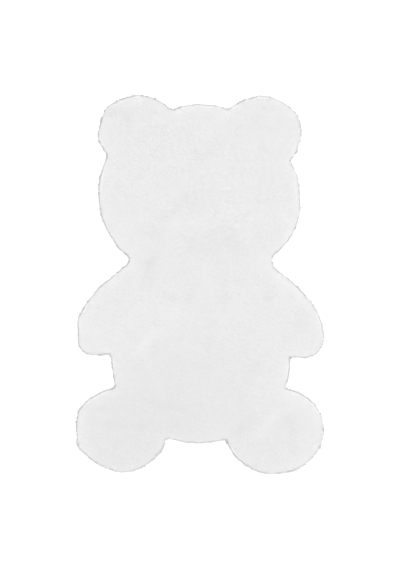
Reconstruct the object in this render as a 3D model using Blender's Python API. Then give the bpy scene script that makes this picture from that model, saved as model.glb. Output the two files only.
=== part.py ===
"""A plush rug cut to the outline of a teddy bear, lying flat with its pile up.

Metres, +Z up. The origin is on the floor under the middle of the rug, and +Y runs to the head.
"""

import math
from collections import namedtuple

import bmesh
import bpy
from mathutils import Matrix, Vector, noise

# Driving dimensions, all with the pile
LENGTH = 1.200
WIDTH = 0.785
THICKNESS = 0.012

# The rim: the pile flares out from the ground cloth's cut edge to its full reach, then rounds over to the top
FLARE = 0.003
RIM_ROUND = 0.008
RIM_SEGMENTS = 3
OUTLINE_STEP = 0.008
CORNER_SOFTNESS = 0.006

# The pile's unevenness: small tufts around the rim, broad low swells over the top
TUFT_PITCH = 0.013
TUFT_REACH = 0.0035
SWELL_PITCH = 0.075
SWELL_HEIGHT = 0.0014
TOP_GRID = 0.032

PILE_COLOUR = (0.86, 0.86, 0.87, 1.0)
PILE_ROUGHNESS = 0.95

# The pile's reach, clockwise as seen on the pile, in millimetres from the middle of the rug. It runs in an arc
# from each corner to the next, and rise is how far that arc swells out of its chord, or in below zero.
MILLIMETRE = 0.001
Corner = namedtuple("Corner", "name x y rise")
CORNERS = [
    Corner("crown", -88, 551, 18),
    Corner("right_ear_top", 88, 554, 7),
    Corner("right_ear_tip", 194, 599, 14),
    Corner("right_ear_side", 309, 534, 6),
    Corner("right_ear_foot", 317, 453, 4),
    Corner("right_cheek", 285, 389, 10),
    Corner("right_jaw", 315, 275, 26),
    Corner("right_neck", 243, 101, -18),
    Corner("right_shoulder", 252, 40, 3),
    Corner("right_sleeve", 331, -33, 11),
    Corner("right_cuff", 388, -143, 19),
    Corner("right_paw", 354, -230, 4),
    Corner("right_flank", 283, -230, 8),
    Corner("right_foot_top", 268, -331, 9),
    Corner("right_foot_side", 361, -378, 15),
    Corner("right_sole", 386, -499, 26),
    Corner("right_heel", 255, -600, 10),
    Corner("right_foot_inner", 150, -578, 11),
    Corner("hem", 84, -492, 14),
    Corner("left_foot_inner", -104, -489, 8),
    Corner("left_heel", -158, -567, 9),
    Corner("left_sole", -250, -597, 14),
    Corner("left_foot_side", -382, -518, 6),
    Corner("left_foot_top", -382, -400, 13),
    Corner("left_flank", -266, -328, 1),
    Corner("left_paw", -280, -221, 3),
    Corner("left_cuff", -355, -224, 2),
    Corner("left_cuff_side", -384, -195, -1),
    Corner("left_sleeve", -385, -111, 5),
    Corner("left_shoulder", -314, -7, -1),
    Corner("left_neck", -232, 61, -13),
    Corner("left_jaw", -237, 95, 20),
    Corner("left_cheek", -319, 283, 7),
    Corner("left_ear_foot", -290, 408, 4),
    Corner("left_ear_side", -322, 467, 3),
    Corner("left_ear_tip", -296, 559, 8),
    Corner("left_ear_top", -190, 600, 11),
]


def arc(start, end, rise, step):
    """Points about a step apart on the arc from start to just short of end, swelling to the left by rise."""
    chord = end - start
    count = max(2, round(chord.length / step))
    half_angle = 2 * math.atan(2 * rise / chord.length)
    radius = chord.length / 2 / math.sin(half_angle)
    left = Vector((-chord.y, chord.x)).normalized()
    centre = start.lerp(end, 0.5) - left * radius * math.cos(half_angle)
    spoke = start - centre
    return [centre + Matrix.Rotation(-2 * half_angle * i / count, 2) @ spoke for i in range(count)]


def evenly_spaced(points, step):
    """The closed outline through the points, with points a step apart."""
    sides = [(a, b, (b - a).length) for a, b in zip(points, points[1:] + points[:1])]
    total = sum(length for a, b, length in sides)
    count = round(total / step)
    spaced = []
    passed = 0.0
    for a, b, length in sides:
        while len(spaced) < count and len(spaced) * total / count < passed + length:
            spaced.append(a.lerp(b, (len(spaced) * total / count - passed) / length))
        passed += length
    return spaced


def softened(points, reach):
    """Each point of a closed outline moved to the mean of its neighbours on both sides."""
    count = len(points)
    spread = range(-reach, reach + 1)
    return [sum((points[(i + k) % count] for k in spread), Vector((0, 0))) / len(spread) for i in range(count)]


def rug_outline():
    """The bear's outline, its corners a little rounded, as points an outline step apart."""
    fine_step = OUTLINE_STEP / 4
    chain = []
    for corner, following in zip(CORNERS, CORNERS[1:] + CORNERS[:1]):
        start = Vector((corner.x, corner.y)) * MILLIMETRE
        end = Vector((following.x, following.y)) * MILLIMETRE
        chain += arc(start, end, corner.rise * MILLIMETRE, fine_step)
    smooth = softened(evenly_spaced(chain, fine_step), round(CORNER_SOFTNESS / fine_step))
    return evenly_spaced(smooth, OUTLINE_STEP)


def add_filled_curve(name, points, thickness):
    """A flat curve object with the outline, filled and extruded to the thickness."""
    curve = bpy.data.curves.new(name, "CURVE")
    curve.dimensions = "2D"
    curve.fill_mode = "BOTH"
    curve.extrude = thickness / 2
    spline = curve.splines.new("POLY")
    spline.points.add(len(points) - 1)
    for spline_point, point in zip(spline.points, points):
        spline_point.co = (point.x, point.y, 0, 1)
    spline.use_cyclic_u = True
    curve_object = bpy.data.objects.new(name, curve)
    bpy.context.scene.collection.objects.link(curve_object)
    return curve_object


def slab_from_curve(curve_object):
    """The curve's mesh as one closed slab on the floor, each cap a single face; the curve is removed."""
    depsgraph = bpy.context.evaluated_depsgraph_get()
    mesh = bpy.data.meshes.new_from_object(curve_object.evaluated_get(depsgraph))
    slab = bmesh.new()
    slab.from_mesh(mesh)
    slab.transform(curve_object.matrix_world)
    bmesh.ops.remove_doubles(slab, verts=slab.verts, dist=0.0001)
    bmesh.ops.translate(slab, verts=slab.verts, vec=(0, 0, THICKNESS / 2))
    for cap_z in (0, THICKNESS):
        bmesh.ops.dissolve_faces(slab, faces=faces_at(slab, cap_z))
    bpy.data.meshes.remove(mesh)
    bpy.data.objects.remove(curve_object)
    return slab


def faces_at(slab, height):
    """The faces that lie flat at a height."""
    return [f for f in slab.faces if all(abs(v.co.z - height) < 0.0001 for v in f.verts)]


def round_rim(slab):
    """Rounds the top edge over, all the way round."""
    rim = [e for e in slab.edges if e.is_manifold and all(abs(v.co.z - THICKNESS) < 0.0001 for v in e.verts)]
    bmesh.ops.bevel(
        slab,
        geom=rim,
        offset=RIM_ROUND,
        offset_type="OFFSET",
        segments=RIM_SEGMENTS,
        profile=0.5,
        affect="EDGES",
        clamp_overlap=False,
    )


def cut_top_into_grid(slab):
    """Cuts the flat top by planes along X and Y, so that it has points to swell at."""
    for axis, extent in ((Vector((1, 0, 0)), WIDTH), (Vector((0, 1, 0)), LENGTH)):
        count = round(extent / TOP_GRID)
        for i in range(1, count):
            top = faces_at(slab, THICKNESS)
            edges = {e for f in top for e in f.edges}
            verts = {v for f in top for v in f.verts}
            bmesh.ops.bisect_plane(
                slab,
                geom=top + list(edges) + list(verts),
                dist=0.0001,
                plane_co=axis * (i / count - 0.5) * extent,
                plane_no=axis,
            )


def rough_up_pile(slab):
    """Draws the rim in at the floor, breaks it into tufts above and swells the top."""
    slab.normal_update()
    outwards = [Vector((v.normal.x, v.normal.y, 0)) for v in slab.verts]
    for vert, outward in zip(slab.verts, outwards):
        height = vert.co.z / THICKNESS
        off_floor = min(1, 3 * height)
        tuft = TUFT_REACH * noise.noise(vert.co / TUFT_PITCH)
        swell = SWELL_HEIGHT * noise.noise(Vector((vert.co.x, vert.co.y, 0)) / SWELL_PITCH)
        vert.co += outward * (off_floor * tuft - (1 - off_floor) * FLARE)
        vert.co.z *= 1 + swell / THICKNESS


def fit_to_size(slab):
    """Brings the rug to its driving length and width, with its middle over the origin."""
    for axis, size in ((0, WIDTH), (1, LENGTH)):
        places = [v.co[axis] for v in slab.verts]
        middle = (max(places) + min(places)) / 2
        scale = size / (max(places) - min(places))
        for vert in slab.verts:
            vert.co[axis] = (vert.co[axis] - middle) * scale


def plush_material():
    """White plush pile."""
    material = bpy.data.materials.new("plush")
    material.use_nodes = True
    shader = material.node_tree.nodes["Principled BSDF"]
    shader.inputs["Base Color"].default_value = PILE_COLOUR
    shader.inputs["Roughness"].default_value = PILE_ROUGHNESS
    shader.inputs["Metallic"].default_value = 0.0
    return material


def add_plush_rug(collection):
    """The whole rug: one piece of plush cloth, its flat back on the floor."""
    slab = slab_from_curve(add_filled_curve("rug_outline", rug_outline(), THICKNESS))
    round_rim(slab)
    cut_top_into_grid(slab)
    for height in (0, THICKNESS):
        bmesh.ops.triangulate(slab, faces=faces_at(slab, height))
    rough_up_pile(slab)
    fit_to_size(slab)
    bmesh.ops.recalc_face_normals(slab, faces=slab.faces)
    mesh = bpy.data.meshes.new("plush_rug")
    slab.to_mesh(mesh)
    slab.free()
    mesh.shade_smooth()
    mesh.set_sharp_from_angle(angle=math.radians(50))
    mesh.materials.append(plush_material())
    rug = bpy.data.objects.new("plush_rug", mesh)
    collection.objects.link(rug)
    return rug


def main():
    for old in list(bpy.data.objects):
        bpy.data.objects.remove(old)
    collection = bpy.data.collections.new("plush_rug")
    bpy.context.scene.collection.children.link(collection)
    add_plush_rug(collection)


main()
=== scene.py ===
"""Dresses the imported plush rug: a knitted ground cloth, the dense mass of its pile, and the tufts on it.

Metres, in the frame's own axes: +Y to the bear's head, +Z up out of the pile, the floor at zero.
"""

import math
from collections import namedtuple

import bmesh
import bpy
import numpy as np
from bpy.props import FloatProperty, FloatVectorProperty, PointerProperty
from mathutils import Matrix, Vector
from mathutils.bvhtree import BVHTree
from mathutils.kdtree import KDTree


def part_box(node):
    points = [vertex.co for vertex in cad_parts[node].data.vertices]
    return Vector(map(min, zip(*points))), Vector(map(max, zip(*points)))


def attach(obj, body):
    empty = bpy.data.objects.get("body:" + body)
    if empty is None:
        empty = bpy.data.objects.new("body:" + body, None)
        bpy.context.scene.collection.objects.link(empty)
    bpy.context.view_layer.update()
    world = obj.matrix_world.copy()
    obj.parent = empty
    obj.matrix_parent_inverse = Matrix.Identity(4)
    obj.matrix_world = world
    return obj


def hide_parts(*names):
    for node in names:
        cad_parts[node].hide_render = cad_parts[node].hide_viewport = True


bl_info = {
    "name": "Plush rug",
    "version": (1, 0),
    "blender": (4, 5, 0),
    "location": "View3D > Sidebar > Rug",
    "description": "Makes the cloth, pile and tufts of a plush rug over its packed solid",
    "category": "Add Mesh",
}

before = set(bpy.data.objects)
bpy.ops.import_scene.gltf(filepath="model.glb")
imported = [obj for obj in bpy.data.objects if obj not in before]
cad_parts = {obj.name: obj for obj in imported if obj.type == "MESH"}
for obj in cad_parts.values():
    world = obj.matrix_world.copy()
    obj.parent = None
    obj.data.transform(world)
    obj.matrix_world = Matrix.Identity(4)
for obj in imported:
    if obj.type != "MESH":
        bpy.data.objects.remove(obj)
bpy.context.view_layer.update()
RUG_LOW, RUG_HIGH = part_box("plush_rug")
RUG_WIDTH = RUG_HIGH.x - RUG_LOW.x
RUG_LENGTH = RUG_HIGH.y - RUG_LOW.y

BODY = "root"
BAKE_MAP = "OFBake"
WELD = 0.00001
FACES_DOWN = -0.9
SEED = 14

# The photo's height, the rug's length in it and the row of the rug's middle, in pixels
PHOTO_HEIGHT = 570
RUG_PIXELS = 379.9
RUG_CENTRE_ROW = 284.56

# Steps along the cut edge, for the ground cloth and for measuring from it, and how many of them on each side
# of a point give its heading
CLOTH_STEP = 0.005
EDGE_STEP = 0.004
HEADING_STEPS = 2

# Random swells: the narrowest and widest of them, as shares of their pitch
NARROWEST_SWELL = 0.7
WIDEST_SWELL = 1.6

# The uneven grid of the wisps' middles: how wide it is before it repeats, and the margin in each of its cells
WISP_GRID = 2
WISP_MARGIN = 0.1

# The bed lies deep in the pile, and its foot stays inside the ground cloth
BED_DEPTH = 0.6
BED_INSET = 0.001
LEAST_SLOPE = 0.1

# Tufts: a three-cornered foot, sunk in the bed, and a point
FOOT_CORNERS = 3
TUFT_FACES = np.array([[0, 2, 1], [0, 1, 3], [1, 2, 3], [2, 0, 3]])
FOOT_DEPTH = 0.15
THINNEST = 0.93
THICKEST = 1.07
SHORTEST = 0.3
BANDS = ("ears", "head", "neck", "belly", "feet")

# Where a tuft's corners and point lie in its map: across by its tone, up by the height along it
MAP_ACROSS = np.array([-0.02, 0.0, 0.02, 0.0])
MAP_UP = np.array([0.02, 0.06, 0.02, 0.98])
MAP_MARGIN = 0.03

# How the tufts stand: brushed to the feet, lifted by a rise, and how unevenly they lean and grow
TO_THE_FEET = -math.pi / 2
RISE = 0.35
ROOT_JITTER = 0.25
HEADING_SWAY = 0.15
LEAN_SWAY = 0.02
LEAN_PITCH = 0.4
STEM_SCATTER = 0.09
LENGTH_SCATTER = 0.08
SCATTER_LIMIT = 2

# How far from the bed the lines start that find the tufts' feet on it
ABOVE_RUG = 0.05
OUTSIDE_RIM = 0.01

# The rim: rows of tufts on the side of the pile, the lowest the longest and in the deepest shade
RIM_ROWS = 5
RIM_ROW_GAP = 0.0011
RIM_SPACING = 0.0012
LOWEST_ROW = 0.0004
LOWEST_ROW_LENGTH = 1.12
HIGHEST_ROW_LENGTH = 0.32
RAGGEDNESS = 0.45
RAGGED_PITCH = 1.5
STRAY_SHARE = 0.08
STRAY_LENGTH = 1.6

# How far the tufts of a wisp lean together, on top and along the rim
TOP_GATHER = 0.3
RIM_GATHER = 0.6

# The share of the fibre's colour that a tuft shows at a tone of 0, and what a tone of 1 adds to it
DARKEST_SHARE = 0.35
TONE_SHARE = 0.72

# Tones of the tufts: the plain one, and how much patches, wisps and tufts differ from it
PLAIN_TONE = 0.843
PATCH_TONE = 0.002
PATCH_PITCH = 0.05
WISP_TONE = 0.005
TUFT_TONE = 0.026

# Rates so high that a wisp's tone looks unlike its neighbours'
WISP_RATE_X = 91000
WISP_RATE_Y = 57000

# The rim's tones: painted light in a band in from it, a painted shaded line along it, and painted shade low
# down on the pile's side
PAINTED_RIM_LIGHT_TONE = 0.072
PAINTED_RIM_LIGHT_WIDTH = 0.025
RIM_SHADE = 0.142
RIM_SHADE_WIDTH = 0.0053
RIM_SHADE_SOFTNESS = 0.0007
RIM_SHADE_SWAY = 0.15
SHADE_START = 0.0008
SHADE_FADE = 0.0042
SHADE_SWAY = 0.5

# Soft marks that hands left in the pile: a stroke from one place to another, in millimetres, that turns the
# pile and, as painted shade, darkens it or, with a depth below zero, lightens it as painted light
MILLIMETRE = 0.001
MARK_PAINTED_SHADING = 0.074
MARK_TURN = 0.5
Mark = namedtuple("Mark", "x y to_x to_y width depth")
MARKS = [
    Mark(-259, 551, -227, 523, 11, 0.9),
    Mark(-290, 551, -281, 534, 7, 1.4),
    Mark(-190, 577, -190, 577, 13, -0.7),
    Mark(-98, 520, -98, 520, 11, 0.7),
    Mark(-25, 504, -10, 500, 14, 0.5),
    Mark(177, 520, 237, 482, 13, 0.8),
    Mark(202, 559, 202, 559, 6, 1.0),
    Mark(259, 457, 262, 440, 16, -0.5),
    Mark(19, 406, 70, 450, 15, 0.6),
    Mark(259, 406, 196, 286, 18, 0.5),
    Mark(-95, 213, -47, 286, 8, 0.9),
    Mark(-47, 286, -32, 242, 8, 0.9),
    Mark(-82, 191, 40, 200, 20, -0.5),
    Mark(183, 250, 183, 220, 18, -0.5),
    Mark(-177, 179, -133, 147, 14, 0.5),
    Mark(-32, 122, 25, 97, 18, 0.6),
    Mark(90, 145, 110, 125, 20, 0.6),
    Mark(-133, 97, -167, 65, 12, 0.8),
    Mark(-162, 70, -183, -11, 12, 0.9),
    Mark(-107, -36, -38, -46, 12, 0.6),
    Mark(76, 8, 79, -74, 12, 0.6),
    Mark(208, 27, 212, -49, 14, 0.5),
    Mark(316, -90, 312, -130, 22, 0.5),
    Mark(-133, -144, -208, -219, 12, -0.7),
    Mark(-139, -190, -139, -200, 12, 0.6),
    Mark(-202, -257, -202, -257, 15, 0.5),
    Mark(171, -257, 171, -257, 15, 0.9),
    Mark(25, -163, 30, -226, 7, 0.5),
    Mark(-171, -365, -63, -390, 16, 0.4),
    Mark(-284, -444, -76, -447, 14, 0.4),
    Mark(-310, -390, -310, -390, 14, 0.5),
    Mark(158, -428, 110, -470, 18, 0.6),
    Mark(240, -402, 190, -478, 15, -0.6),
    Mark(278, -428, 291, -459, 15, 0.6),
    Mark(297, -516, 285, -510, 18, 0.6),
    Mark(-240, 300, -150, 300, 45, -0.25),
    Mark(20, 150, 170, 120, 75, 0.25),
    Mark(-330, -140, -90, -100, 75, -0.38),
]

# Locks that stick out of the rim, with the same columns
LOCK_REACH = 0.6
LOCKS = [
    Mark(385, -131, 385, -131, 7, 1.2),
    Mark(363, -380, 363, -380, 6, 1.2),
    Mark(322, -346, 322, -346, 7, 1.0),
    Mark(193, -592, 193, -592, 8, 0.9),
    Mark(-126, -526, -126, -526, 7, 1.0),
    Mark(-385, -510, -389, -491, 6, 1.0),
    Mark(-354, -219, -354, -219, 6, 0.8),
    Mark(-313, -223, -313, -223, 7, 1.0),
    Mark(-145, 589, -145, 589, 7, 0.8),
    Mark(-63, 561, -63, 561, 7, 1.2),
    Mark(-3, 570, -3, 570, 8, 0.8),
    Mark(123, 580, 123, 580, 7, 0.9),
    Mark(313, 314, 313, 314, 7, 0.9),
    Mark(-240, 585, -222, 592, 12, 0.7),
    Mark(-316, 505, -310, 520, 10, 0.8),
    Mark(-142, -545, -134, -536, 10, 0.7),
    Mark(286, -591, 302, -581, 12, 0.9),
    Mark(250, 109, 260, 119, 10, 0.8),
    Mark(309, 519, 315, 509, 10, 0.7),
    Mark(74, 556, 84, 554, 8, 0.6),
    Mark(386, -480, 389, -470, 9, 0.5),
]

# A broad patch of painted shade over the feet and the hem
PAINTED_SHADE_PATCH = (-0.06, -0.49)
PAINTED_SHADE_PATCH_SIZE = 0.32
PAINTED_SHADE_PATCH_TONE = 0.037

# The bed's finish: fibre ends in soft patches, over a colour kept darker than the tufts' as painted shade
END_SIZE = 0.0012
END_DEPTH = 0.0006
BED_PATCH_SIZE = 0.03
BED_TONE = 0.86
END_TONE = 0.10
BED_PATCH_TONE = 0.08

# The knitted back: swaying ribs, loops along each, fuzz on the yarn and a little wear
SWAY_RATE = 1.3
SWAY_REACH = 0.12
LOOP_RATE = 0.65
LOOP_BEND = 1.4
RIB_SHARE = 0.65
KNIT_DEPTH = 0.0005
FUZZ_SIZE = 0.0009
FUZZ_HEIGHT = 0.3
WEAR_SIZE = 0.07
KNIT_TONE = 0.80
YARN_TONE = 0.16
FUZZ_TONE = 0.06
WEAR_TONE = 0.05

# How fibre catches the light
FIBRE_SPECULAR = 0.2
SHEEN_ROUGHNESS = 0.5

# The floor, how far it reaches each way and how little it lies below the rug, and the lamp
FLOOR_REACH = 6
FLOOR_GAP = 0.0002
FLOOR_TONE = 0.985
FLOOR_PATCH_TONE = 0.03
FLOOR_PATCH_SIZE = 0.4
LAMP_WIDTH = 3.0
LAMP_LENGTH = 2.4
LAMP_PLACE = (0.65, 0.05, 4.9)

# Sockets of a Mix node for colours
MIX_FACTOR = 0
MIX_LOW = 6
MIX_HIGH = 7
MIX_COLOUR = 2


class ClothSettings(bpy.types.PropertyGroup):
    """The ground cloth that the pile is knitted into."""

    thickness: FloatProperty(
        name="Thickness", description="Thickness of the ground cloth", default=0.0018, unit="LENGTH"
    )
    rib_pitch: FloatProperty(
        name="Rib pitch",
        description="Distance between the knitted ribs of the back",
        default=0.0024,
        unit="LENGTH",
    )
    colour: FloatVectorProperty(
        name="Colour", description="Colour of the knitted back", default=(0.78, 0.77, 0.75), subtype="COLOR"
    )


class PileSettings(bpy.types.PropertyGroup):
    """The pile and the way it was brushed."""

    tuft_length: FloatProperty(
        name="Tuft length", description="How far a tuft stands out of the pile", default=0.0052, unit="LENGTH"
    )
    tuft_spacing: FloatProperty(
        name="Tuft spacing",
        description="Distance between neighbouring tufts",
        default=0.00212,
        unit="LENGTH",
    )
    tuft_radius: FloatProperty(
        name="Tuft radius", description="Radius of a tuft at its foot", default=0.0012, unit="LENGTH"
    )
    wisp_size: FloatProperty(
        name="Wisp size",
        description="Distance between the wisps that tufts gather into",
        default=0.0045,
        unit="LENGTH",
    )
    lean: FloatProperty(
        name="Lean",
        description="How far the brushed pile leans over, as a slope",
        default=0.8,
        min=0,
        max=2,
    )
    brush_pitch: FloatProperty(
        name="Brush pitch",
        description="Width of the patches that lean one way",
        default=0.11,
        unit="LENGTH",
    )
    tip_colour: FloatVectorProperty(
        name="Tip colour",
        description="Colour of the pile at its tips",
        default=(0.951, 0.95, 0.951),
        subtype="COLOR",
    )
    # Painted shade: the pile is made a little darker at its roots than at its tips
    shaded_root_colour: FloatVectorProperty(
        name="Root colour",
        description="Colour deep in the pile",
        default=(0.921, 0.92, 0.921),
        subtype="COLOR",
    )


class StageSettings(bpy.types.PropertyGroup):
    """The floor, the light and the camera."""

    camera_height: FloatProperty(
        name="Camera height",
        description="Height of the camera over the floor",
        default=4.0,
        unit="LENGTH",
    )
    floor_colour: FloatVectorProperty(
        name="Floor colour",
        description="Colour of the plain floor",
        default=(0.88, 0.88, 0.88),
        subtype="COLOR",
    )
    sky_strength: FloatProperty(
        name="Sky strength", description="Strength of the even light from all round", default=1.15, min=0
    )
    lamp_power: FloatProperty(
        name="Lamp power",
        description="Power of the large soft lamp over the rug",
        default=117.0,
        min=0,
        unit="POWER",
    )


class Value:
    """A socket in a finish's shader. Python's operators on it add Math nodes."""

    def __init__(self, finish, socket):
        self.finish = finish
        self.socket = socket

    def math(self, operation, *operands):
        """The result of a Math node on these operands."""
        return self.finish.node("ShaderNodeMath", {"operation": operation}, dict(enumerate(operands)))

    def __add__(self, other):
        return self.math("ADD", self, other)

    def __sub__(self, other):
        return self.math("SUBTRACT", self, other)

    def __rsub__(self, other):
        return self.math("SUBTRACT", other, self)

    def __mul__(self, other):
        return self.math("MULTIPLY", self, other)

    __radd__ = __add__
    __rmul__ = __mul__

    def sine(self):
        return self.math("SINE", self)

    def absolute(self):
        return self.math("ABSOLUTE", self)


class Finish:
    """A material in the making: its Principled shader, and one way to add any node."""

    def __init__(self, name, roughness, sheen=0.0):
        self.material = bpy.data.materials.new(name)
        self.material.use_nodes = True
        self.nodes = self.material.node_tree.nodes
        self.shader = self.nodes["Principled BSDF"]
        self.shader.inputs["Roughness"].default_value = roughness
        self.shader.inputs["Specular IOR Level"].default_value = FIBRE_SPECULAR
        self.shader.inputs["Sheen Weight"].default_value = sheen
        self.shader.inputs["Sheen Roughness"].default_value = SHEEN_ROUGHNESS

    def feed(self, socket, value):
        """Links a Value to a socket, or sets the socket to a plain value."""
        if isinstance(value, Value):
            self.material.node_tree.links.new(value.socket, socket)
        else:
            socket.default_value = value

    def node(self, kind, settings, inputs, output=0):
        """Adds a node, sets it up, feeds its sockets and returns one of its outputs."""
        node = self.nodes.new(kind)
        for name, setting in settings.items():
            setattr(node, name, setting)
        for name, value in inputs.items():
            self.feed(node.inputs[name], value)
        return Value(self, node.outputs[output])

    def place(self):
        """The spot on the object, in metres."""
        return self.node("ShaderNodeTexCoord", {}, {}, "Object")

    def part(self, vector, axis):
        """A vector's X, Y or Z."""
        return self.node("ShaderNodeSeparateXYZ", {}, {0: vector}, axis)

    def noise(self, spot, size, detail=2.0):
        """Noise from 0 to 1, whose lumps are about size across."""
        inputs = {"Vector": spot, "Scale": 1 / size, "Detail": detail}
        return self.node("ShaderNodeTexNoise", {}, inputs, "Fac")

    def mix(self, factor, low, high, blend="MIX"):
        """The colour between low and high, or their product."""
        settings = {"data_type": "RGBA", "blend_type": blend}
        inputs = {MIX_FACTOR: factor, MIX_LOW: low, MIX_HIGH: high}
        return self.node("ShaderNodeMix", settings, inputs, MIX_COLOUR)

    def dress(self, colour, height=None, depth=0.0):
        """Feeds the shader its colour and, from a height field, its bumps; returns the material."""
        self.feed(self.shader.inputs["Base Color"], colour)
        if height is not None:
            bump = self.node("ShaderNodeBump", {}, {"Height": height, "Distance": depth, "Strength": 1.0})
            self.feed(self.shader.inputs["Normal"], bump)
        return self.material


def opaque(colour):
    """A colour with full alpha, for a colour socket."""
    return (*colour, 1.0)


def tuft_finish(pile):
    """White plush fibre: painted shade makes it a little darker deeper in the pile, and each tuft has its own
    tone, which holds painted light and shade too.
    """
    finish = Finish("plush_tufts", roughness=0.95, sheen=0.25)
    along_tuft = finish.node("ShaderNodeUVMap", {"uv_map": BAKE_MAP}, {})
    tone = finish.part(along_tuft, "X")
    height = finish.part(along_tuft, "Y")
    # Painted shade: the fibre runs from the darker root colour up to the tip colour along each tuft
    fibre = finish.mix(height, opaque(pile.shaded_root_colour), opaque(pile.tip_colour))
    return finish.dress(finish.mix(1.0, fibre, DARKEST_SHARE + TONE_SHARE * tone, "MULTIPLY"))


def bed_finish(pile):
    """The mass of the pile between the tufts: fine fibre ends in soft patches, darker than the tufts as
    painted shade.
    """
    finish = Finish("plush_bed", roughness=1.0, sheen=0.15)
    spot = finish.place()
    ends = finish.noise(spot, END_SIZE)
    patches = finish.noise(spot, BED_PATCH_SIZE)
    # Painted shade: the bed takes the darker root colour, mostly a little darker still, with random fibre
    # ends and patches
    shade = BED_TONE + END_TONE * ends + BED_PATCH_TONE * patches
    colour = finish.mix(1.0, opaque(pile.shaded_root_colour), shade, "MULTIPLY")
    return finish.dress(colour, ends, END_DEPTH)


def knit_finish(cloth):
    """The knitted back: ribs along the rug with a short wave of loops in each."""
    finish = Finish("knitted_back", roughness=0.85, sheen=0.1)
    spot = finish.place()
    across = finish.part(spot, "X")
    along = finish.part(spot, "Y")
    turn = 2 * math.pi / cloth.rib_pitch
    sway = (along * (turn * SWAY_RATE)).sine() * (SWAY_REACH * cloth.rib_pitch)
    rib = ((across + sway) * (turn / 2)).sine().absolute()
    loop = ((along * (turn * LOOP_RATE)) + rib * LOOP_BEND).sine().absolute()
    yarn = rib * RIB_SHARE + loop * (1 - RIB_SHARE)
    fuzz = finish.noise(spot, FUZZ_SIZE, detail=3.0)
    wear = finish.noise(spot, WEAR_SIZE)
    shade = KNIT_TONE + YARN_TONE * yarn + FUZZ_TONE * fuzz - WEAR_TONE * wear
    colour = finish.mix(1.0, opaque(cloth.colour), shade, "MULTIPLY")
    return finish.dress(colour, yarn + FUZZ_HEIGHT * fuzz, KNIT_DEPTH)


def floor_finish(stage):
    """A plain pale floor with the faintest unevenness of tone."""
    finish = Finish("pale_floor", roughness=0.7)
    shade = FLOOR_TONE + FLOOR_PATCH_TONE * finish.noise(finish.place(), FLOOR_PATCH_SIZE)
    return finish.dress(finish.mix(1.0, opaque(stage.floor_colour), shade, "MULTIPLY"))


def cad_shape():
    """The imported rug's own mesh with its points welded, as a bmesh."""
    shape = bmesh.new()
    shape.from_mesh(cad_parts["plush_rug"].data)
    bmesh.ops.remove_doubles(shape, verts=shape.verts, dist=WELD)
    shape.verts.index_update()
    shape.normal_update()
    return shape


def cut_edges(shape):
    """The edges in which the rug's side meets its back."""
    return [
        edge
        for edge in shape.edges
        if all(v.co.z < WELD for v in edge.verts)
        and sum(f.normal.z < FACES_DOWN for f in edge.link_faces) == 1
    ]


def cut_edge():
    """The line in which the rug's side meets the floor, as plan points in order, counterclockwise."""
    shape = cad_shape()
    neighbours = {}
    for edge in cut_edges(shape):
        a, b = (v.index for v in edge.verts)
        neighbours.setdefault(a, []).append(b)
        neighbours.setdefault(b, []).append(a)
    path = [min(neighbours)]
    onward = neighbours[path[0]][0]
    while onward != path[0]:
        path.append(onward)
        onward = next(i for i in neighbours[path[-1]] if i != path[-2])
    shape.verts.ensure_lookup_table()
    points = np.array([shape.verts[i].co[:2] for i in path])
    shape.free()
    return points if turning_area(points) > 0 else points[::-1]


def turning_area(points):
    """The area inside a closed outline, above zero where it runs counterclockwise."""
    following = np.roll(points, -1, axis=0)
    return (points[:, 0] * following[:, 1] - points[:, 1] * following[:, 0]).sum() / 2


def evenly_spaced(points, step):
    """Points a step apart along a closed outline, and the way out at each."""
    closed = np.vstack([points, points[:1]])
    passed = np.concatenate([[0], np.cumsum(np.linalg.norm(np.diff(closed, axis=0), axis=1))])
    count = round(passed[-1] / step)
    stops = np.arange(count) * passed[-1] / count
    spaced = np.stack([np.interp(stops, passed, closed[:, axis]) for axis in (0, 1)], axis=1)
    along = np.roll(spaced, -HEADING_STEPS, axis=0) - np.roll(spaced, HEADING_STEPS, axis=0)
    out = np.stack([along[:, 1], -along[:, 0]], axis=1)
    return spaced, unit(out)


def unit(vectors):
    """The vectors at a length of one."""
    return vectors / np.linalg.norm(vectors, axis=1, keepdims=True)


def waves(spots, pitch, random, count=24):
    """Smooth random swells about a pitch wide at plan spots, with a mean of 0 and a spread of about 1."""
    heading = random.uniform(0, 2 * math.pi, count)
    number = 2 * math.pi / (pitch * random.uniform(NARROWEST_SWELL, WIDEST_SWELL, count))
    phase = random.uniform(0, 2 * math.pi, count)
    total = np.zeros(len(spots))
    for angle, rate, start in zip(heading, number, phase):
        total += np.cos(rate * (spots[:, 0] * math.cos(angle) + spots[:, 1] * math.sin(angle)) + start)
    return total * math.sqrt(2 / count)


def wisp_centres(spots, pitch, random):
    """The middle of the wisp that each spot belongs to, on an uneven grid."""
    rows = round(WISP_GRID / pitch)
    offsets = random.uniform(WISP_MARGIN, 1 - WISP_MARGIN, (rows, rows, 2))
    cells = np.floor(spots / pitch).astype(int)
    nearest = np.zeros_like(spots)
    least = np.full(len(spots), np.inf)
    for step_x in (-1, 0, 1):
        for step_y in (-1, 0, 1):
            near = cells + (step_x, step_y)
            centre = (near + offsets[near[:, 0] % rows, near[:, 1] % rows]) * pitch
            away = np.linalg.norm(centre - spots, axis=1)
            closer = away < least
            nearest[closer] = centre[closer]
            least[closer] = away[closer]
    return nearest


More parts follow.
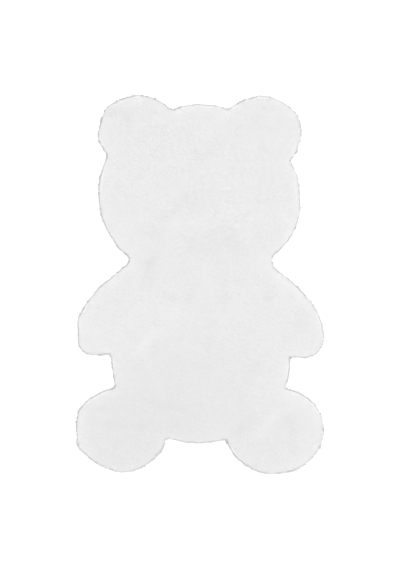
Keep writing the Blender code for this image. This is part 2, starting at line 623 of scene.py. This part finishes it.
def marked(spots, marks):
    """How strongly the marks are felt at each plan spot."""
    total = np.zeros(len(spots))
    for mark in marks:
        start = np.array([mark.x, mark.y]) * MILLIMETRE
        stroke = np.array([mark.to_x, mark.to_y]) * MILLIMETRE - start
        share = ((spots - start) @ stroke / max(stroke @ stroke, WELD)).clip(0, 1)
        away = np.linalg.norm(spots - start - share[:, None] * stroke, axis=1)
        total += mark.depth * np.exp(-((away / (mark.width * MILLIMETRE)) ** 2))
    return total


def add_piece(name, mesh, material, smooth=True):
    """A mesh object of the rug, in its material, that rides with the rug."""
    mesh.materials.append(material)
    if smooth:
        mesh.shade_smooth()
    piece = bpy.data.objects.new(name, mesh)
    bpy.context.scene.collection.objects.link(piece)
    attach(piece, BODY)
    return piece


class RUG_OT_ground_cloth(bpy.types.Operator):
    """Make the ground cloth, with its knitted back on the floor"""

    bl_idname = "rug.ground_cloth"
    bl_label = "Ground cloth"

    def execute(self, context):
        cloth = context.scene.rug_cloth
        outline = evenly_spaced(cut_edge(), CLOTH_STEP)[0]
        shape = bmesh.new()
        back = shape.faces.new([shape.verts.new((x, y, 0)) for x, y in outline[::-1]])
        lifted = bmesh.ops.extrude_face_region(shape, geom=[back], use_keep_orig=True)
        top = [g for g in lifted["geom"] if isinstance(g, bmesh.types.BMVert)]
        bmesh.ops.translate(shape, verts=top, vec=(0, 0, cloth.thickness))
        bmesh.ops.recalc_face_normals(shape, faces=shape.faces)
        mesh = bpy.data.meshes.new("ground_cloth")
        shape.to_mesh(mesh)
        shape.free()
        add_piece("ground_cloth", mesh, knit_finish(cloth), smooth=False)
        return {"FINISHED"}


class RUG_OT_pile_bed(bpy.types.Operator):
    """Make the dense mass of the pile on the ground cloth"""

    bl_idname = "rug.pile_bed"
    bl_label = "Pile"

    def execute(self, context):
        cloth, pile = context.scene.rug_cloth, context.scene.rug_pile
        shape = cad_shape()
        crease = shape.edges.layers.float.new("crease_edge")
        for edge in cut_edges(shape):
            edge[crease] = 1
        self.draw_in(shape, cloth.thickness, BED_DEPTH * pile.tuft_length)
        mesh = bpy.data.meshes.new("pile_bed")
        shape.to_mesh(mesh)
        shape.free()
        bed = add_piece("pile_bed", mesh, bed_finish(pile))
        smoother = bed.modifiers.new("smooth", "SUBSURF")
        smoother.levels = 1
        smoother.render_levels = 1
        return {"FINISHED"}

    def draw_in(self, shape, foot, depth):
        """Sinks the pile's surface by a depth, and sets its back at a foot height, in from the cut edge."""
        places = [(v, v.co.copy(), v.normal.copy()) for v in shape.verts]
        for vert, place, normal in places:
            if place.z < WELD:
                outward = Vector((normal.x, normal.y, 0)).normalized()
                vert.co = place - outward * BED_INSET if normal.xy.length > LEAST_SLOPE else place
                vert.co.z = foot
            else:
                vert.co = place - normal * depth


def evaluated_tree(piece):
    """A search tree of the piece's faces, with its modifiers."""
    return BVHTree.FromObject(piece, bpy.context.evaluated_depsgraph_get())


def roots_on_top(tree, spacing, random):
    """Foot places of the tufts on the bed, on an uneven six-sided grid, and the bed's slope at each."""
    row_gap = spacing * math.sqrt(3) / 2
    rows = int(RUG_LENGTH / row_gap) + 2
    columns = int(RUG_WIDTH / spacing) + 2
    row, column = np.mgrid[0:rows, 0:columns]
    x = RUG_LOW.x + (column + 0.5 * (row % 2)) * spacing
    y = RUG_LOW.y + row * row_gap
    spots = np.stack([x.ravel(), y.ravel()], axis=1)
    spots += random.uniform(-ROOT_JITTER, ROOT_JITTER, spots.shape) * spacing
    roots = []
    slopes = []
    for x, y in spots:
        place, normal = tree.ray_cast((x, y, ABOVE_RUG), (0, 0, -1))[:2]
        if place is not None:
            roots.append(place)
            slopes.append(normal)
    return np.array(roots), np.array(slopes)


def roots_on_side(tree, cloth):
    """Foot places of the tufts around the bed's side, row over row, and the bed's slope at each."""
    outline, out = evenly_spaced(cut_edge(), RIM_SPACING)
    roots = []
    slopes = []
    for row in range(RIM_ROWS):
        height = cloth.thickness + LOWEST_ROW + row * RIM_ROW_GAP
        for (x, y), (out_x, out_y) in zip(outline, out):
            start = Vector((x + out_x * OUTSIDE_RIM, y + out_y * OUTSIDE_RIM, height))
            place, normal = tree.ray_cast(start, (-out_x, -out_y, 0), 2 * OUTSIDE_RIM)[:2]
            if place is not None:
                roots.append(place)
                slopes.append(normal)
    return np.array(roots), np.array(slopes)


def stems(spots, slopes, inside, pile, random):
    """Which way each tuft points: on top as the pile was brushed, at the rim out and up."""
    heading = TO_THE_FEET + HEADING_SWAY * waves(spots, pile.brush_pitch, random)
    heading = heading + MARK_TURN * marked(spots, MARKS)
    lean = pile.lean * (1 + LEAN_SWAY * waves(spots, LEAN_PITCH * pile.brush_pitch, random))
    stem = slopes + (0, 0, RISE)
    stem[:, 0] += lean * inside * np.cos(heading)
    stem[:, 1] += lean * inside * np.sin(heading)
    stem += random.normal(0, STEM_SCATTER, stem.shape)
    return unit(stem)


def lengths(roots, inside, pile, random):
    """Each tuft's share of the full length: about 1 on top, ragged and longest low down at the rim."""
    spots = roots[:, :2]
    scatter = LENGTH_SCATTER * random.normal(size=len(roots)).clip(-SCATTER_LIMIT, SCATTER_LIMIT)
    stray = random.uniform(size=len(roots)) < STRAY_SHARE
    up_the_rim = ((roots[:, 2] - RUG_LOW.z) / (RIM_ROWS * RIM_ROW_GAP)).clip(0, 1)
    at_rim = LOWEST_ROW_LENGTH + up_the_rim * (HIGHEST_ROW_LENGTH - LOWEST_ROW_LENGTH)
    at_rim = at_rim * np.where(stray, STRAY_LENGTH, 1)
    at_rim += RAGGEDNESS * waves(spots, RAGGED_PITCH * pile.wisp_size, random)
    at_rim += LOCK_REACH * marked(spots, LOCKS)
    length = (1 + scatter) * (inside + (1 - inside) * at_rim)
    return length.clip(SHORTEST)


def brushed(roots, slopes, pile, random):
    """Where the tufts' points lie: leaning as the pile was brushed, splayed at the rim, gathered in wisps."""
    spots = roots[:, :2]
    inside = 1 - np.linalg.norm(slopes[:, :2], axis=1)
    stem = stems(spots, slopes, inside, pile, random)
    points = roots + stem * pile.tuft_length * lengths(roots, inside, pile, random)[:, None]
    inward = wisp_centres(spots, pile.wisp_size, random) - spots
    along_rim = np.stack([-slopes[:, 1], slopes[:, 0]], axis=1)
    points[:, :2] += TOP_GATHER * inside[:, None] * inward
    points[:, :2] += RIM_GATHER * (inward * along_rim).sum(axis=1, keepdims=True) * along_rim
    return points


def away_from_edge(spots):
    """How far each plan spot is from the cut edge."""
    outline = evenly_spaced(cut_edge(), EDGE_STEP)[0]
    edge = KDTree(len(outline))
    for i, (x, y) in enumerate(outline):
        edge.insert((x, y, 0), i)
    edge.balance()
    return np.array([edge.find((x, y, 0))[2] for x, y in spots])


def tuft_tones(roots, cloth, pile, random):
    """Each tuft's tone: random by wisp and tuft, with painted light and shade in the marks, painted shade in
    the broad patch, painted light near the rim, and painted shade along the rim's line and low on its side.
    """
    spots = roots[:, :2]
    centre = wisp_centres(spots, pile.wisp_size, random)
    own = np.sin(centre[:, 0] * WISP_RATE_X + centre[:, 1] * WISP_RATE_Y)
    tones = PLAIN_TONE + PATCH_TONE * waves(spots, PATCH_PITCH, random) + WISP_TONE * own
    # Painted light and shade: the marks darken the tufts, and lighten them where their depth is below zero
    tones += random.uniform(-TUFT_TONE, TUFT_TONE, len(roots)) - MARK_PAINTED_SHADING * marked(spots, MARKS)
    # Painted shade: a broad patch over the feet and the hem darkens the tufts
    off_patch = np.linalg.norm(spots - np.array(PAINTED_SHADE_PATCH), axis=1) / PAINTED_SHADE_PATCH_SIZE
    tones -= PAINTED_SHADE_PATCH_TONE * np.exp(-(off_patch**2))
    away = away_from_edge(spots)
    # Painted light: a band of tufts in from the cut edge is made lighter
    tones += PAINTED_RIM_LIGHT_TONE * np.exp(-away / PAINTED_RIM_LIGHT_WIDTH)
    # Painted shade: a dark line along the cut edge stands in for the shaded rim and its contact shadow
    painted_shade_line_width = RIM_SHADE_WIDTH * (1 + RIM_SHADE_SWAY * own)
    tones *= 1 - RIM_SHADE / (1 + np.exp((away - painted_shade_line_width) / RIM_SHADE_SOFTNESS))
    # Painted shade: tufts low on the pile's side, nearest the floor and the cut edge, are darkened the most
    climb = away + roots[:, 2] - cloth.thickness
    return tones * (1 - np.exp(-(climb - SHADE_START).clip(0) / (SHADE_FADE * (1 + SHADE_SWAY * own))))


def tuft_mesh(name, feet, points, radii, tones, random):
    """One mesh of closed tufts, each from a three-cornered foot to a point, with its tone in its map."""
    count = len(feet)
    stem = unit(points - feet)
    side = unit(np.cross(stem, unit(random.normal(size=(count, 3)))))
    other = np.cross(stem, side)
    corners = [
        feet + radii[:, None] * (math.cos(turn) * side + math.sin(turn) * other)
        for turn in (2 * math.pi * k / FOOT_CORNERS for k in range(FOOT_CORNERS))
    ]
    places = np.stack([*corners, points], axis=1)
    # No tuft reaches below the floor
    places[:, :, 2] = places[:, :, 2].clip(RUG_LOW.z)
    faces = TUFT_FACES[None] + (FOOT_CORNERS + 1) * np.arange(count)[:, None, None]
    mesh = bpy.data.meshes.new(name)
    mesh.from_pydata(places.reshape(-1, 3), [], faces.reshape(-1, 3))
    across = np.clip(tones, MAP_MARGIN, 1 - MAP_MARGIN)[:, None, None] + MAP_ACROSS[TUFT_FACES][None]
    up = np.broadcast_to(MAP_UP[TUFT_FACES][None], across.shape)
    mesh.uv_layers.new(name=BAKE_MAP)
    mesh.uv_layers[BAKE_MAP].data.foreach_set("uv", np.stack([across, up], axis=-1).ravel())
    return mesh


class RUG_OT_tufts(bpy.types.Operator):
    """Make the tufts that stand out of the pile, in bands across the rug, and those of the rim"""

    bl_idname = "rug.tufts"
    bl_label = "Tufts"

    def execute(self, context):
        cloth, pile = context.scene.rug_cloth, context.scene.rug_pile
        random = np.random.default_rng(SEED)
        tree = evaluated_tree(bpy.data.objects["pile_bed"])
        material = tuft_finish(pile)
        roots, slopes = roots_on_top(tree, pile.tuft_spacing, random)
        self.plant("pile", BANDS, roots, slopes, cloth, pile, material, random)
        roots, slopes = roots_on_side(tree, cloth)
        self.plant("rim", ("tufts",), roots, slopes, cloth, pile, material, random)
        return {"FINISHED"}

    def plant(self, family, names, roots, slopes, cloth, pile, material, random):
        """Adds one piece of tufts for each name, sharing the tufts out from the head to the feet."""
        points = brushed(roots, slopes, pile, random)
        feet = roots - FOOT_DEPTH * (points - roots)
        radii = pile.tuft_radius * random.uniform(THINNEST, THICKEST, len(roots))
        tones = tuft_tones(roots, cloth, pile, random)
        order = np.argsort(-roots[:, 1], kind="stable")
        for name, share in zip(names, np.array_split(order, len(names))):
            piece_name = f"{family}_{name}"
            mesh = tuft_mesh(piece_name, feet[share], points[share], radii[share], tones[share], random)
            add_piece(piece_name, mesh, material)


class RUG_OT_lay(bpy.types.Operator):
    bl_idname = "rug.lay"
    bl_label = "Lay the rug"

    def execute(self, context):
        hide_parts("plush_rug")
        turning_area(cut_edge())
        return {"FINISHED"}


class RUG_OT_stage(bpy.types.Operator):
    """Make the pale floor, the soft light and the camera straight over the rug"""

    bl_idname = "rug.stage"
    bl_label = "Stage"

    def execute(self, context):
        stage = context.scene.rug_stage
        self.add_floor(context.scene, stage)
        self.add_light(context.scene, stage)
        self.add_camera(context.scene, stage)
        context.scene.view_settings.view_transform = "Standard"
        return {"FINISHED"}

    def add_floor(self, scene, stage):
        """A wide plain floor, a hair under the rug's back."""
        shape = bmesh.new()
        bmesh.ops.create_grid(shape, x_segments=1, y_segments=1, size=FLOOR_REACH)
        mesh = bpy.data.meshes.new("floor")
        shape.to_mesh(mesh)
        shape.free()
        mesh.materials.append(floor_finish(stage))
        floor = bpy.data.objects.new("floor", mesh)
        floor.location.z = -FLOOR_GAP
        scene.collection.objects.link(floor)

    def add_light(self, scene, stage):
        """An even sky, and one large lamp over the rug and a little to the right."""
        world = bpy.data.worlds.new("studio")
        world.use_nodes = True
        sky = world.node_tree.nodes["Background"]
        sky.inputs["Color"].default_value = (1, 1, 1, 1)
        sky.inputs["Strength"].default_value = stage.sky_strength
        scene.world = world
        lamp = bpy.data.lights.new("soft_lamp", "AREA")
        lamp.shape = "RECTANGLE"
        lamp.size = LAMP_WIDTH
        lamp.size_y = LAMP_LENGTH
        lamp.energy = stage.lamp_power
        lamp_object = bpy.data.objects.new("soft_lamp", lamp)
        lamp_object.location = LAMP_PLACE
        lamp_object.rotation_euler = (-lamp_object.location).to_track_quat("-Z", "Y").to_euler()
        lamp_object.visible_camera = False
        scene.collection.objects.link(lamp_object)

    def add_camera(self, scene, stage):
        """A long lens looking straight down, with the head at the top of the picture."""
        camera = bpy.data.cameras.new("camera")
        pixel = RUG_LENGTH / RUG_PIXELS
        level = RUG_HIGH.z / 2
        camera.lens = camera.sensor_width * (stage.camera_height - level) / (PHOTO_HEIGHT * pixel)
        camera_object = bpy.data.objects.new("camera", camera)
        camera_object.location = (0, (RUG_CENTRE_ROW - PHOTO_HEIGHT / 2) * pixel, stage.camera_height)
        scene.collection.objects.link(camera_object)
        scene.camera = camera_object


class RUG_PT_panel(bpy.types.Panel):
    """Lists the rug's pieces and their settings"""

    bl_label = "Plush rug"
    bl_space_type = "VIEW_3D"
    bl_region_type = "UI"
    bl_category = "Rug"

    def draw(self, context):
        for settings in (context.scene.rug_cloth, context.scene.rug_pile, context.scene.rug_stage):
            box = self.layout.box()
            for name in settings.__annotations__:
                box.prop(settings, name)
        for operator in OPERATORS:
            self.layout.operator(operator.bl_idname)


SETTINGS = {"rug_cloth": ClothSettings, "rug_pile": PileSettings, "rug_stage": StageSettings}
OPERATORS = (RUG_OT_ground_cloth, RUG_OT_pile_bed, RUG_OT_tufts, RUG_OT_lay, RUG_OT_stage)


def register():
    for name, group in SETTINGS.items():
        bpy.utils.register_class(group)
        setattr(bpy.types.Scene, name, PointerProperty(type=group))
    for operator in OPERATORS:
        bpy.utils.register_class(operator)
    bpy.utils.register_class(RUG_PT_panel)


def unregister():
    bpy.utils.unregister_class(RUG_PT_panel)
    for operator in reversed(OPERATORS):
        bpy.utils.unregister_class(operator)
    for name, group in SETTINGS.items():
        delattr(bpy.types.Scene, name)
        bpy.utils.unregister_class(group)


def main():
    register()
    bpy.ops.rug.ground_cloth()
    bpy.ops.rug.pile_bed()
    bpy.ops.rug.tufts()
    bpy.ops.rug.stage()
    bpy.ops.rug.lay()


if __name__ == "__main__":
    main()
